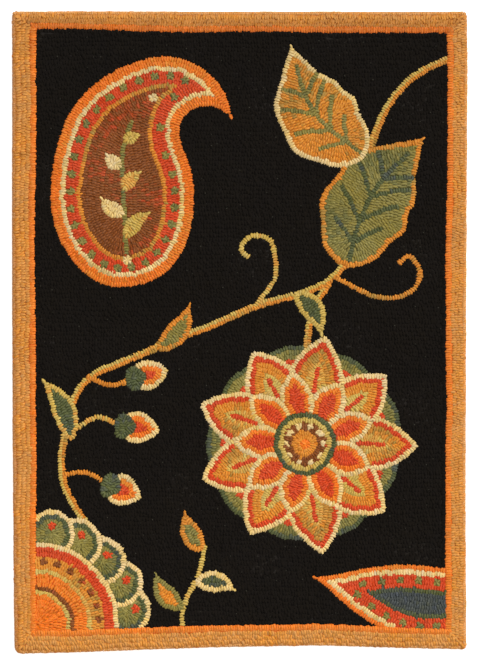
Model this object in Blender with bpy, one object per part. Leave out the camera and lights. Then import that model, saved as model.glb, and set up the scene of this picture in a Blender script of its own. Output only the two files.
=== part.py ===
"""A small hooked rug that lies flat: loops of wool yarn pulled up through a cotton cloth.

The whole rug is one solid, because the loops and the cloth can't be parted. Its outline
wanders as a hand-finished edge does, its rim is rolled over, and the rows of loops that
run round the border stand up as ribs. Inside them the field is level but for the slight
rise and fall of the pile.

Metres, +Z up. The origin is under the middle of the rug, on the surface that it lies on.
X runs across the rug and Y along it. The pile faces up.
"""
import math

import bmesh
import bpy

# Overall size
WIDTH = 0.510
LENGTH = 0.719
CLOTH = 0.0015
PILE = 0.0065
THICKNESS = CLOTH + PILE

# The rows of the border, counted inwards from the outline
EDGE_ROW = 0.0044
TAN_ROWS = 3
ORANGE_ROW = 0.0062
BORDER_ROWS = 1 + TAN_ROWS + 1
GROOVE = 0.0009
CREST_FROM = 0.32
CREST_TO = 0.68

# The field inside the border
FIELD_DROP = 0.0004
FIELD_WAVE = 0.0003
WAVE_LENGTH = 0.170
FIELD_RINGS = 9
MIDDLE_SHARE = 0.06

# Points round the outline
SIDE_STEPS = {"bottom": 24, "right": 34, "top": 24, "left": 34}
CORNER_STEPS = 6
SQUAREST_CORNER = 0.0008

# Each side, from its low X or low Y end: share of its length, how far the outline stands
# in from the rug's box, and how wide the tan border is there.
SIDES = {
    "bottom": (
        (0.00, 0.0000, 0.0198),
        (0.12, 0.0012, 0.0195),
        (0.28, 0.0043, 0.0187),
        (0.45, 0.0072, 0.0179),
        (0.68, 0.0092, 0.0177),
        (0.83, 0.0069, 0.0172),
        (0.92, 0.0057, 0.0170),
        (1.00, 0.0049, 0.0169),
    ),
    "right": (
        (0.00, 0.0014, 0.0168),
        (0.20, 0.0021, 0.0162),
        (0.30, 0.0020, 0.0162),
        (0.38, 0.0019, 0.0149),
        (0.46, 0.0018, 0.0165),
        (0.54, 0.0015, 0.0161),
        (0.61, 0.0013, 0.0170),
        (0.69, 0.0010, 0.0164),
        (0.77, 0.0007, 0.0155),
        (0.92, 0.0000, 0.0158),
        (1.00, 0.0009, 0.0158),
    ),
    "top": (
        (0.00, 0.0000, 0.0134),
        (0.09, 0.0001, 0.0133),
        (0.18, 0.0001, 0.0146),
        (0.27, 0.0002, 0.0165),
        (0.45, 0.0003, 0.0166),
        (1.00, 0.0004, 0.0179),
    ),
    "left": (
        (0.00, 0.0026, 0.0180),
        (0.18, 0.0015, 0.0186),
        (0.30, 0.0008, 0.0200),
        (0.45, 0.0003, 0.0196),
        (0.57, 0.0002, 0.0191),
        (0.69, 0.0001, 0.0187),
        (0.78, 0.0001, 0.0199),
        (0.86, 0.0000, 0.0210),
        (0.93, 0.0000, 0.0203),
        (1.00, 0.0002, 0.0202),
    ),
}

# Each corner in the order of the outline: its place across and along, and its rounding.
CORNERS = (
    ((0, 0), 0.0085),
    ((1, 0), 0.0035),
    ((1, 1), 0.0030),
    ((0, 1), 0.0030),
)
SIDE_AFTER_CORNER = ("bottom", "right", "top", "left")

# The rolled rim from the underside up to the first groove: rows in from the outline, and
# height as a share of the thickness.
RIM = (
    (0.34, 0.00),
    (0.10, 0.10),
    (0.00, 0.32),
    (0.00, 0.58),
    (0.16, 0.82),
    (0.46, 0.97),
    (0.72, 0.97),
    (1.00, 1.00 - GROOVE / THICKNESS),
)

# Finish of each zone: colour, roughness
FINISHES = {
    "tan_border": ((0.56, 0.25, 0.065, 1.0), 0.9),
    "orange_row": ((0.78, 0.22, 0.035, 1.0), 0.9),
    "black_field": ((0.012, 0.012, 0.011, 1.0), 0.95),
}


def clear_scene():
    for obj in list(bpy.data.objects):
        bpy.data.objects.remove(obj)


def between(table, share, column):
    """A column of a side's table, read at a share of the side's length."""
    for low, high in zip(table, table[1:]):
        if share <= high[0]:
            part = (share - low[0]) / (high[0] - low[0])
            return low[column] + part * (high[column] - low[column])
    return table[-1][column]


def inset(side, share, rows):
    """How far a line, counted in rows from the outline, stands in from the rug's box."""
    table = SIDES[side]
    drift = between(table, share, 1)
    tan_width = between(table, share, 2)
    tan_row = (tan_width - EDGE_ROW) / TAN_ROWS
    if rows <= 1:
        return drift + rows * EDGE_ROW
    if rows <= 1 + TAN_ROWS:
        return drift + EDGE_ROW + (rows - 1) * tan_row
    return drift + tan_width + (rows - 1 - TAN_ROWS) * ORANGE_ROW


def place(across, along, rows):
    """A point of the line that stands a number of rows inside the outline."""
    left = -WIDTH / 2 + inset("left", along, rows)
    right = WIDTH / 2 - inset("right", along, rows)
    bottom = -LENGTH / 2 + inset("bottom", across, rows)
    top = LENGTH / 2 - inset("top", across, rows)
    return left + across * (right - left), bottom + along * (top - bottom)


def corner_points(number, rows):
    """The rounding of one corner, which gets tighter from row to row."""
    (across, along), radius = CORNERS[number]
    x, y = place(across, along, rows)
    radius = max(radius - rows * EDGE_ROW, SQUAREST_CORNER)
    centre_x = x + radius * (1 - 2 * across)
    centre_y = y + radius * (1 - 2 * along)
    start = math.pi + number * math.pi / 2
    turns = (start + step / CORNER_STEPS * math.pi / 2 for step in range(CORNER_STEPS + 1))
    return [(centre_x + radius * math.cos(a), centre_y + radius * math.sin(a)) for a in turns]


def side_points(side, rows):
    """The points of one side between its corners, in the order of the outline."""
    steps = SIDE_STEPS[side]
    shares = [step / steps for step in range(1, steps)]
    if side in ("top", "left"):
        shares.reverse()
    if side in ("bottom", "top"):
        along = 0 if side == "bottom" else 1
        return [place(share, along, rows) for share in shares]
    across = 1 if side == "right" else 0
    return [place(across, share, rows) for share in shares]


def outline(rows):
    """One closed line round the rug, anticlockwise from the low X, low Y corner."""
    points = []
    for number, side in enumerate(SIDE_AFTER_CORNER):
        points += corner_points(number, rows)
        points += side_points(side, rows)
    return points


def field_height(x, y):
    """The level of the pile in the field, which rises and falls a little."""
    turn = 2 * math.pi / WAVE_LENGTH
    wave = math.sin(turn * x + 0.6) * math.cos(turn * y)
    return THICKNESS - FIELD_DROP + FIELD_WAVE * wave


def rim_rings():
    return [[(x, y, share * THICKNESS) for x, y in outline(rows)] for rows, share in RIM]


def rib_rings():
    """Three rings for each rib: up to its crest, along it, and down to the next groove."""
    rings = []
    for row in range(1, BORDER_ROWS):
        for part, height in (
            (CREST_FROM, THICKNESS),
            (CREST_TO, THICKNESS),
            (1.0, THICKNESS - GROOVE),
        ):
            rings.append([(x, y, height) for x, y in outline(row + part)])
    return rings


def field_rings():
    """The field's rings close in on the middle, and the last of them is level."""
    edge = outline(BORDER_ROWS)
    rings = []
    for step in range(1, FIELD_RINGS + 1):
        share = 1 - (1 - MIDDLE_SHARE) * (step - 0.8) / (FIELD_RINGS - 0.8)
        ring = [(share * x, share * y) for x, y in edge]
        level = step == FIELD_RINGS
        rings.append(
            [(x, y, THICKNESS - FIELD_DROP if level else field_height(x, y)) for x, y in ring]
        )
    return rings


def finish_material(name):
    colour, roughness = FINISHES[name]
    material = bpy.data.materials.new(name)
    material.use_nodes = True
    shader = material.node_tree.nodes["Principled BSDF"]
    shader.inputs["Base Color"].default_value = colour
    shader.inputs["Roughness"].default_value = roughness
    shader.inputs["Metallic"].default_value = 0.0
    material.diffuse_color = colour
    return material


def build_rug():
    rim = rim_rings()
    ribs = rib_rings()
    rings = rim + ribs + field_rings()
    tan_bands = len(rim) - 1 + 3 * TAN_ROWS
    orange_bands = tan_bands + 3

    bm = bmesh.new()
    loops = [[bm.verts.new(point) for point in ring] for ring in rings]
    count = len(loops[0])
    for band, (outer, inner) in enumerate(zip(loops, loops[1:])):
        zone = 0 if band < tan_bands else 1 if band < orange_bands else 2
        for i in range(count):
            j = (i + 1) % count
            face = bm.faces.new((outer[i], outer[j], inner[j], inner[i]))
            face.material_index = zone
    underside = bm.faces.new(reversed(loops[0]))
    underside.material_index = 0
    middle = bm.faces.new(loops[-1])
    middle.material_index = 2
    bmesh.ops.triangulate(bm, faces=bm.faces[:])

    mesh = bpy.data.meshes.new("rug")
    bm.to_mesh(mesh)
    bm.free()
    for name in FINISHES:
        mesh.materials.append(finish_material(name))
    mesh.shade_smooth()
    mesh.set_sharp_from_angle(angle=math.radians(50))

    rug = bpy.data.objects.new("rug", mesh)
    bpy.context.scene.collection.objects.link(rug)
    return rug


clear_scene()
build_rug()
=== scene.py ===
# %% [markdown]
# # A hooked rug, loop by loop
#
# A hooked rug starts as a plain cotton cloth. The maker pushes a hook through it and pulls up
# one loop of wool yarn after another, in rows that follow the drawing. Nothing is knotted: the
# loops hold because they stand so close that the cloth grips them.
#
# The scene is made in the same order. First comes the drawing, as rows of loops. Then one
# loop is modelled and set some 25,000 times, and the cloth is woven underneath. The first cell
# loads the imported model. It is the frame that all of this has to fit.

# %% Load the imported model
import math

import bpy
import numpy as np
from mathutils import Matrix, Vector
from mathutils.geometry import delaunay_2d_cdt
from mathutils.kdtree import KDTree


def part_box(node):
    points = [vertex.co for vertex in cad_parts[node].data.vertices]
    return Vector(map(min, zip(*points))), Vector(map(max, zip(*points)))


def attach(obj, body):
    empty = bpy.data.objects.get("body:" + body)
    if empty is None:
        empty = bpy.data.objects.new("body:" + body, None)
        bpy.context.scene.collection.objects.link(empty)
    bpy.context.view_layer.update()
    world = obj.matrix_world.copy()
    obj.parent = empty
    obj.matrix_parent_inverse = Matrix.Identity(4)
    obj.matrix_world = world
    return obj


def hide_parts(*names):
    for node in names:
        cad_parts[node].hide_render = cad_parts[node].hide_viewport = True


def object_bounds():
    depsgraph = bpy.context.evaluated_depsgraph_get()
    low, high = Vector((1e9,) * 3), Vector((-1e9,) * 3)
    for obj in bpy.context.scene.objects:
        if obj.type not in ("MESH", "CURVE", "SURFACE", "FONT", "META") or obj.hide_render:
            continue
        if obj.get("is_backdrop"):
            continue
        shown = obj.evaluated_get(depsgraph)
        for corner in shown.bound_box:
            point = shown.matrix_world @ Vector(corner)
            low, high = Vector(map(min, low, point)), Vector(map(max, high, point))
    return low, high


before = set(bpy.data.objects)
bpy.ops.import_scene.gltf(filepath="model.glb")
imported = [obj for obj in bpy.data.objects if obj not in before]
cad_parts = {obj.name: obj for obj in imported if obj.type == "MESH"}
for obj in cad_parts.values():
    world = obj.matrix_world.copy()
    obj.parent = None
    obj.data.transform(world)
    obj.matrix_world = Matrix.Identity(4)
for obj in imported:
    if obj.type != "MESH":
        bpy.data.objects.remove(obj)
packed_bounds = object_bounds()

MM = 0.001
rug_low, rug_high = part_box("rug")
WIDTH, LENGTH, THICKNESS = (round(extent / MM, 1) for extent in rug_high - rug_low)
print(f"The rug is {WIDTH} mm wide, {LENGTH} mm long and {THICKNESS} mm thick.")

# %% [markdown]
# ## The yarn sets the scale
#
# A drawing for hooking is counted in rows, as a drawing for knitting is counted in stitches.
# So the yarn comes before the drawing: how far apart the rows stand, and how far apart the
# loops stand along a row. Everything below is in millimetres until it becomes a mesh.

# %% Rows and loops
ROW = 4.75
PITCH = 2.95
GROUND_PITCH = 3.25
EDGE_ROW = 4.4
EDGE_PITCH = 2.3
TAN_ROWS = 3
ORANGE_ROW = 6.2
BORDER_ROWS = 1 + TAN_ROWS + 1
print(f"About {WIDTH * LENGTH / (ROW * PITCH):.0f} loops would fill the rug.")

# %% [markdown]
# ## The edge of the rug
#
# No two sides of a hand-finished rug are quite straight or quite as wide in the border. The
# outline could be drawn as one list of points, but then the rows inside it would need lists
# of their own. Here each side has a short table that says how the edge and the border's width
# drift along it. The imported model's outline follows the same tables.

# %% Tables of the sides and corners
# Share of the side's length, how far the edge stands in from the box, width of the tan border
SIDES = {
    "bottom": (
        (0.00, 0.0, 19.8), (0.12, 1.2, 19.5), (0.28, 4.3, 18.7), (0.45, 7.2, 17.9),
        (0.68, 9.2, 17.7), (0.83, 6.9, 17.2), (0.92, 5.7, 17.0), (1.00, 4.9, 16.9),
    ),
    "right": (
        (0.00, 1.4, 16.8), (0.20, 2.1, 16.2), (0.30, 2.0, 16.2), (0.38, 1.9, 14.9),
        (0.46, 1.8, 16.5), (0.54, 1.5, 16.1), (0.61, 1.3, 17.0), (0.69, 1.0, 16.4),
        (0.77, 0.7, 15.5), (0.92, 0.0, 15.8), (1.00, 0.9, 15.8),
    ),
    "top": (
        (0.00, 0.0, 13.4), (0.09, 0.1, 13.3), (0.18, 0.1, 14.6), (0.27, 0.2, 16.5),
        (0.45, 0.3, 16.6), (1.00, 0.4, 17.9),
    ),
    "left": (
        (0.00, 2.6, 18.0), (0.18, 1.5, 18.6), (0.30, 0.8, 20.0), (0.45, 0.3, 19.6),
        (0.57, 0.2, 19.1), (0.69, 0.1, 18.7), (0.78, 0.1, 19.9), (0.86, 0.0, 21.0),
        (0.93, 0.0, 20.3), (1.00, 0.2, 20.2),
    ),
}
# Place across and along the rug, rounding. Each corner comes before the side of its number.
CORNERS = ((0, 0, 8.5), (1, 0, 3.5), (1, 1, 3.0), (0, 1, 3.0))
SIDE_LENGTHS = (WIDTH, LENGTH, WIDTH, LENGTH)
print(f"The four sides are given at {sum(len(table) for table in SIDES.values())} places.")

# %% [markdown]
# ## Lines round the rug
#
# Every line round the rug is counted in rows from the edge: 0 is the outline, 1 the inner side
# of the edge row, 5 the edge of the field, and halves are the middles of rows. So one function
# draws them all, and the rounding of its corners gets tighter inwards, as rows of yarn do.

# %% Lines round the rug
SQUAREST_CORNER = 0.8
CORNER_POINTS = 9


def inset(side, share, rows):
    """How far a line, counted in rows from the edge, stands in from the rug's box."""
    shares, drifts, tan_widths = np.array(SIDES[side]).T
    drift = np.interp(share, shares, drifts)
    tan_width = np.interp(share, shares, tan_widths)
    if rows <= 1:
        return drift + rows * EDGE_ROW
    if rows <= 1 + TAN_ROWS:
        return drift + EDGE_ROW + (rows - 1) * (tan_width - EDGE_ROW) / TAN_ROWS
    return drift + tan_width + (rows - 1 - TAN_ROWS) * ORANGE_ROW


def place(across, along, rows):
    """The point at some shares of the width and the length, on a line round the rug."""
    left = -WIDTH / 2 + inset("left", along, rows)
    right = WIDTH / 2 - inset("right", along, rows)
    bottom = -LENGTH / 2 + inset("bottom", across, rows)
    top = LENGTH / 2 - inset("top", across, rows)
    return np.stack([left + across * (right - left), bottom + along * (top - bottom)], -1)


def corner_radius(number, rows):
    """A corner's rounding, which gets tighter from row to row."""
    return max(CORNERS[number][2] - rows * EDGE_ROW, SQUAREST_CORNER)


def corner_points(number, rows, angles):
    """The points of a corner at some angles of its quarter turn, and the way out there."""
    across, along, _ = CORNERS[number]
    radius = corner_radius(number, rows)
    middle = place(across, along, rows) + radius * np.array([1 - 2 * across, 1 - 2 * along])
    turn = math.pi * (1 + number / 2) + angles
    out = np.stack([np.cos(turn), np.sin(turn)], -1)
    return middle + radius * out, out


def side_points(number, share, rows):
    """The points at some shares of a side, in the order of the outline."""
    same = np.zeros_like(share)
    route = ((share, same), (same + 1, share), (1 - share, same + 1), (same, 1 - share))
    return place(*route[number], rows)


def outline(rows, step=2.0):
    """The closed line that stands a number of rows inside the edge, anticlockwise."""
    line = []
    for number, length in enumerate(SIDE_LENGTHS):
        end = 2 * corner_radius(number, rows)
        line.append(corner_points(number, rows, np.linspace(0, math.pi / 2, CORNER_POINTS))[0])
        line.append(side_points(number, np.arange(end, length - end, step) / length, rows))
    return np.concatenate(line)


print(f"The edge is {np.linalg.norm(np.diff(outline(0), axis=0), axis=1).sum():.0f} mm round.")

# %% [markdown]
# ## A sheet of graph paper
#
# Motifs overlap, and a loop can belong to one of them only. Cutting the shapes against each
# other would be exact, but slow and fragile. A maker has an easier way: paint the furthest
# motif first and the next ones over it. So the drawing is kept on a fine grid. Each cell holds
# the number of the patch that was painted last, and how deep inside that patch it lies.

# %% The grid
CELL = 0.5
MARGIN = 60.0
CORNER = np.array([-WIDTH / 2 - MARGIN, -LENGTH / 2 - MARGIN])
SHAPE = tuple(int(2 * -edge / CELL) for edge in CORNER[::-1])
FAR = 1e4


def cell_of(points):
    """The column and the line of the cell that holds each point."""
    return np.floor((np.asarray(points) - CORNER) / CELL).astype(int).T


def read(grid, points):
    """A grid's value at each point."""
    column, line = cell_of(points)
    return grid[np.clip(line, 0, SHAPE[0] - 1), np.clip(column, 0, SHAPE[1] - 1)]


def cells_inside(line):
    """The window of the grid round a closed line, and which cells in it are inside."""
    spots = (line - CORNER) / CELL - 0.5
    low = np.maximum(np.floor(spots.min(0)).astype(int) - 2, 0)
    high = np.minimum(np.ceil(spots.max(0)).astype(int) + 3, SHAPE[::-1])
    wide, tall = high - low
    start, end = spots - low, np.roll(spots, -1, 0) - low
    rises = (start[:, 1] < end[:, 1])[:, None]
    under, over = np.where(rises, start, end), np.where(rises, end, start)
    first, last = (np.clip(np.ceil(v[:, 1]).astype(int), 0, tall) for v in (under, over))
    edge = np.repeat(np.arange(len(under)), last - first)
    row = np.arange(len(edge)) - np.repeat(np.cumsum(last - first) - last, last - first)
    share = (row - under[edge, 1]) / (over[edge, 1] - under[edge, 1])
    column = np.ceil(under[edge, 0] + share * (over[edge, 0] - under[edge, 0])).astype(int)
    flips = np.zeros((tall, wide + 1), int)
    np.add.at(flips, (row, np.clip(column, 0, wide)), 1)
    window = (slice(low[1], high[1]), slice(low[0], high[0]))
    return window, np.cumsum(flips, 1)[:, :-1] % 2 == 1


def whole_sheet(window, part):
    """A window's cells on a sheet that is empty elsewhere."""
    whole = np.zeros(SHAPE, part.dtype)
    whole[window] = part
    return whole


def depth_in(mask, reach):
    """Millimetres from each cell of a shape to the nearest cell outside it."""
    column = np.arange(mask.shape[1], dtype=np.float32)
    before = np.maximum.accumulate(np.where(mask, -FAR, column), axis=1)
    after = np.minimum.accumulate(np.where(mask, FAR, column)[:, ::-1], axis=1)[:, ::-1]
    across = np.minimum(column - before, after - column) ** 2
    best = across.copy()
    for step in range(1, min(int(reach / CELL), mask.shape[0] - 1) + 1):
        np.minimum(best[step:], across[:-step] + step * step, out=best[step:])
        np.minimum(best[:-step], across[step:] + step * step, out=best[:-step])
    return np.sqrt(best) * CELL


print(f"The grid has {SHAPE[1]} x {SHAPE[0]} cells of {CELL} mm.")

# %% [markdown]
# ## Lines that loops can follow
#
# Loops stand at even steps along a line, and each is turned across it. So a line needs three things:
# its points an even step apart, the direction at each of them, and a smooth way through a few given
# points. A line drawn by hand also wanders a little. A plain sine would wander too evenly, so its
# crests are bent by a second sine.

# %% Helpers for lines
SWAY = 1.0
SHORTEST = 1e-9


def spread(count, start=0.5):
    """Even shares of a length."""
    return (np.arange(count) + start) / count


def even(line, step, closed=True, start=0.5):
    """The same line with its points a step apart, or as near as fits a whole number."""
    line = np.concatenate([line, line[:1]]) if closed else line
    run = np.concatenate([[0], np.cumsum(np.linalg.norm(np.diff(line, axis=0), axis=1))])
    at = spread(max(int(round(run[-1] / step)), 1), start) * run[-1]
    return np.stack([np.interp(at, run, line[:, k]) for k in (0, 1)], -1)


def headings(line, closed=True, reach=1):
    """The direction along a line at each of its points."""
    if closed:
        way = np.roll(line, -reach, 0) - np.roll(line, reach, 0)
    elif len(line) < 3:
        way = np.tile(line[-1] - line[0] if len(line) > 1 else [1.0, 0.0], (len(line), 1))
    else:
        way = np.gradient(line, axis=0)
    return way / np.maximum(np.linalg.norm(way, axis=1), SHORTEST)[:, None]


def to_the_left(way):
    return np.stack([-way[:, 1], way[:, 0]], -1)


def anticlockwise(line):
    x, y = line.T
    area = (x * np.roll(y, -1) - y * np.roll(x, -1)).sum()
    return line if area > 0 else line[::-1]


def smooth(points, step=2.0):
    """A smooth open curve through a few points."""
    p = np.array(points, float)
    p = np.concatenate([[2 * p[0] - p[1]], p, [2 * p[-1] - p[-2]]])
    curve = []
    for a, b, c, d in zip(p, p[1:], p[2:], p[3:]):
        t = np.linspace(0, 1, max(int(np.linalg.norm(c - b) / step), 2), endpoint=False)[:, None]
        bend = (2 * a - 5 * b + 4 * c - d) * t**2 + (3 * b - a - 3 * c + d) * t**3
        curve.append(0.5 * (2 * b + (c - a) * t + bend))
    return np.concatenate(curve + [p[-2:-1]])


def wave(u, v, length, bent_over, bend=1):
    """A sine along u whose crests are bent along v, so that it never looks regular."""
    return np.sin(u / length + bend * np.sin(v / bent_over))


def by_hand(line):
    """The same line, wandering by about a millimetre."""
    x, y = np.asarray(line, float).T
    return np.stack([x + SWAY * wave(y, x, 23, 31), y + SWAY * wave(x, y, 19, 27)], -1)


print(f"A row across the rug takes {WIDTH / PITCH:.0f} loops.")

# %% [markdown]
# ## Patches
#
# Everything that is painted becomes a patch with lines for its rows of loops. A closed shape is
# filled from its edge inwards, as hooked flowers are, so its rows are its own outline moved
# in again and again. Moved that far, an outline crosses itself. The distance from the edge,
# which the grid knows, says which points of a moved line are real, and the others are cut off.

# %% Patches
FINE = 0.8
REAL_ENOUGH = 0.55
SHARP = 55
TIP_STEP = 1.6
patches = [{"piece": None, "bands": [("tan", 1)]}]
owner = np.zeros(SHAPE, np.int16)
depth = np.zeros(SHAPE, np.float32)
field = np.zeros(SHAPE, bool)


def add_patch(window, mask, depths, **facts):
    patches.append({"tips": (), "line": None, "wide": ROW, "stations": (), **facts})
    owner[window][mask] = len(patches) - 1
    depth[window][mask] = depths[mask]


def tell(piece):
    print(f"{piece}: {sum(patch['piece'] == piece for patch in patches)} patches")


def sharp_tips(line):
    """Where a closed line turns sharply, with the way out of the shape there."""
    back, ahead = line - np.roll(line, 3, 0), np.roll(line, -3, 0) - line
    back /= np.linalg.norm(back, axis=1)[:, None]
    ahead /= np.linalg.norm(ahead, axis=1)[:, None]
    turn = np.arctan2(back[:, 0] * ahead[:, 1] - back[:, 1] * ahead[:, 0], (back * ahead).sum(1))
    peak = (turn > math.radians(SHARP)) & (turn >= np.roll(turn, 1)) & (turn > np.roll(turn, -1))
    way = back - ahead
    return [(line[i], way[i] / np.linalg.norm(way[i])) for i in np.flatnonzero(peak)]


def runs_of(points, good, closed):
    """The stretches of a line whose points are good, and whether the whole ring is."""
    if good.all():
        return [(points, closed)]
    if not good.any():
        return []
    first = int(np.flatnonzero(~good)[0]) if closed else 0
    points, good = np.roll(points, -first, 0), np.roll(good, -first)
    kept = points[good]
    breaks = np.linalg.norm(np.diff(kept, axis=0), axis=1) > 0.6 * ROW
    pieces = np.split(kept, np.flatnonzero(breaks) + 1)
    return [(run, False) for run in pieces if len(run) > 1]


def rows_inside(line, depths, window):
    """A shape's rows from its edge inwards, each cut where rows from two sides meet."""
    fine = even(line, FINE)
    inwards = to_the_left(headings(fine, reach=2))
    whole = whole_sheet(window, depths)
    rows = []
    for number in range(int(depths.max() / ROW + 0.5)):
        distance = (number + 0.5) * ROW
        moved = fine + distance * inwards
        good = np.abs(read(whole, moved) - distance - CELL / 2) < REAL_ENOUGH
        rows += [(number, run, closed) for run, closed in runs_of(moved, good, True)]
    return rows


print(f"A leaf 50 mm wide has {50 / 2 / ROW:.0f} rows from its edge to its midrib.")

# %% [markdown]
# ## Three ways to paint
#
# `hook` fills a closed shape in bands of dye, counted in rows. `trail` lays a stem or a vein,
# one row for each dye. `ring` lays one row of the border. There the loops of all rows stand
# in step, so they line up across the border as ribs of a knitted hem do.

# %% Three ways to paint
DEEPEST = 90


def hook(piece, line, *bands):
    """Paints a closed shape over what is there, in bands of dye counted in rows."""
    line = anticlockwise(by_hand(line))
    window, mask = cells_inside(line)
    depths = depth_in(mask, DEEPEST)
    add_patch(window, mask & field[window], depths, piece=piece, bands=bands, line=line,
              rows=rows_inside(line, depths, window), tips=sharp_tips(even(line, TIP_STEP)))


def trail(piece, points, dyes, wide=ROW):
    """Paints a stem or a vein: one row for each dye, side by side along a smooth curve."""
    curve = even(by_hand(smooth(points)), 1.0, closed=False)
    side = to_the_left(headings(curve, closed=False))
    half = wide * len(dyes) / 2
    line = np.concatenate([curve + half * side, (curve - half * side)[::-1]])
    window, mask = cells_inside(line)
    rows = [(k, curve + (half - (k + 0.5) * wide) * side, False) for k in range(len(dyes))]
    add_patch(window, mask & field[window], np.zeros(mask.shape), piece=piece, rows=rows,
              bands=[(dye, 1) for dye in dyes], line=anticlockwise(line), wide=wide)


def in_step(rows, pitch):
    """Where a border row's loops stand and which way is inwards: corners first, then sides."""
    stations = []
    for number in range(len(CORNERS)):
        count = max(round(corner_radius(number, rows) * math.pi / 2 / pitch), 1)
        spots, out = corner_points(number, rows, spread(count) * math.pi / 2)
        stations.append((spots, -out))
    for number, length in enumerate(SIDE_LENGTHS):
        spots = side_points(number, spread(round(length / pitch)), rows)
        stations.append((spots, to_the_left(headings(spots, closed=False))))
    return stations


def ring(piece, number, dye):
    """Paints one row of the border, between two lines round the rug."""
    window, mask = cells_inside(outline(number))
    hole, inner = cells_inside(outline(number + 1))
    whole = whole_sheet(window, mask)
    whole[hole] &= ~inner
    wide = EDGE_ROW if number == 0 else ORANGE_ROW if number == BORDER_ROWS - 1 else ROW
    add_patch(window, whole[window], np.zeros(mask.shape), piece=piece, bands=[(dye, 1)], rows=[],
              stations=in_step(number + 0.5, PITCH if number else EDGE_PITCH), wide=wide)


# %% [markdown]
# ## Border and ground
#
# The border is five rows: the edge row, which leans out over the rim, three more tan rows, and
# a broader orange row that frames the field. The field starts as bare black ground. The ground
# gets its own rows at the end, when all the motifs are painted and its shape is known.

# %% Border and ground
GROUND = 1
window, mask = cells_inside(outline(BORDER_ROWS))
field[window] = mask
add_patch(window, mask, depth_in(mask, 30), piece="ground", bands=[("black", None)], rows=[])
for number in range(BORDER_ROWS):
    ring("border" if number else "edge", number, "orange" if number == BORDER_ROWS - 1 else "tan")
tell("border")
print(f"The field covers {field.sum() * CELL**2 / 100:.0f} square centimetres.")

# %% [markdown]
# ## Shapes for the motifs
#
# Petals, leaves and drops all come from one idea: a spine, and a width that changes along it.
# A sine gives a width that starts and ends at nothing. Bending its parameter moves the widest
# place towards one end, and a power makes the tip fuller or finer.

# %% Shapes for the motifs
def turned(points, degrees, at):
    """The same points, turned about the origin and then moved to a place."""
    a = math.radians(degrees)
    turn = np.array([[math.cos(a), math.sin(a)], [-math.sin(a), math.cos(a)]])
    return np.asarray(points) @ turn + at


def disc(radius, count=72, at=(0, 0)):
    t = np.arange(count) / count * 2 * math.pi
    return radius * np.stack([np.cos(t), np.sin(t)], -1) + at


def bowed(base, tip, bow, count=50):
    """A bowed line from base to tip."""
    base, tip = np.array(base, float), np.array(tip, float)
    t = np.linspace(0, 1, count)[:, None]
    run = tip - base
    return base + run * t + np.array([-run[1], run[0]]) * bow * np.sin(math.pi * t)


def widened(spine, half):
    """The closed shape that reaches half a width to each side of a spine."""
    side = to_the_left(headings(spine, closed=False))
    half = np.asarray(half)[:, None]
    return np.concatenate([spine + half * side, (spine - half * side)[-2:0:-1]])


def swelling(t, belly, root_power, tip_power):
    """A width from 0 at both ends to 1 at the belly."""
    bend = math.log(0.5) / math.log(belly)
    return np.sin(math.pi * t**bend) ** (root_power + (tip_power - root_power) * t)


def petal(start, length, width, belly=0.55, power=1.0):
    """A pointed petal along +X."""
    t = np.linspace(0, 1, 60)
    spine = np.stack([start + (length - start) * t, np.zeros_like(t)], -1)
    return widened(spine, width / 2 * swelling(t, belly, power, power))


def leaf(base, tip, width, bow=0.0, belly=0.42, ripple=0.0, ripples=3.5):
    """A leaf with a drawn-out tip, and its midrib."""
    rib = bowed(base, tip, bow)
    t = np.linspace(0, 1, len(rib))
    waves = 1 + ripple * np.sin(2 * math.pi * ripples * t)
    return widened(rib, width / 2 * swelling(t, belly, 0.7, 1.25) * waves), rib


def teardrop(base, length, radius, lean, curl, fat=0.30):
    """A fat round end, drawn out along a spine that curls over, and that spine."""
    t = np.linspace(0, 1, 140)
    bend = np.clip((t - fat) / (1 - fat), 0, 1)
    heading = np.radians(lean) - np.radians(curl) * bend**1.7
    step = length / (len(t) - 1) * np.stack([np.cos(heading), np.sin(heading)], -1)
    spine = np.array(base, float) + np.cumsum(step, 0)
    round_end = np.sqrt(np.clip(1 - ((fat - t) / fat) ** 2, 0, 1))
    tail = np.cos(math.pi / 2 * bend) ** 1.25
    return widened(spine, radius * np.where(t < fat, round_end, tail)), spine


print(f"A petal of 40 by 20 mm is drawn with {len(petal(0, 40, 20))} points.")

# %% [markdown]
# ## Dots
#
# A dot could be made by changing the yarn for two or three loops of a row, but that leaves a
# square spot. Here it is hooked first, as a disc of four or five loops round a point, and the
# rows of its band close round it afterwards.

# %% Dots
def dot(piece, at, radius, dye):
    hook(piece, disc(radius, 24, at), (dye, None))


def dots_along(piece, line, rows_in, step, radius, dye):
    """Dots at even steps inside the edge of the shape that was painted last."""
    belt = even(anticlockwise(line), step)
    belt = belt + rows_in * ROW * to_the_left(headings(belt))
    room_for_one = read(depth, belt) > (rows_in - 0.4) * ROW
    for spot in belt[room_for_one & (read(owner, belt) == len(patches) - 1)]:
        dot(piece, spot, radius, dye)


# %% [markdown]
# ## The vine
#
# The stems go on first, because leaves and flowers lie over them. The main stem climbs from
# the lower left corner, crosses the field and leaves it at the top right. It has two rows, a
# pale one and a golden one, so it looks lit from one side. Side stems have one row.

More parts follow.
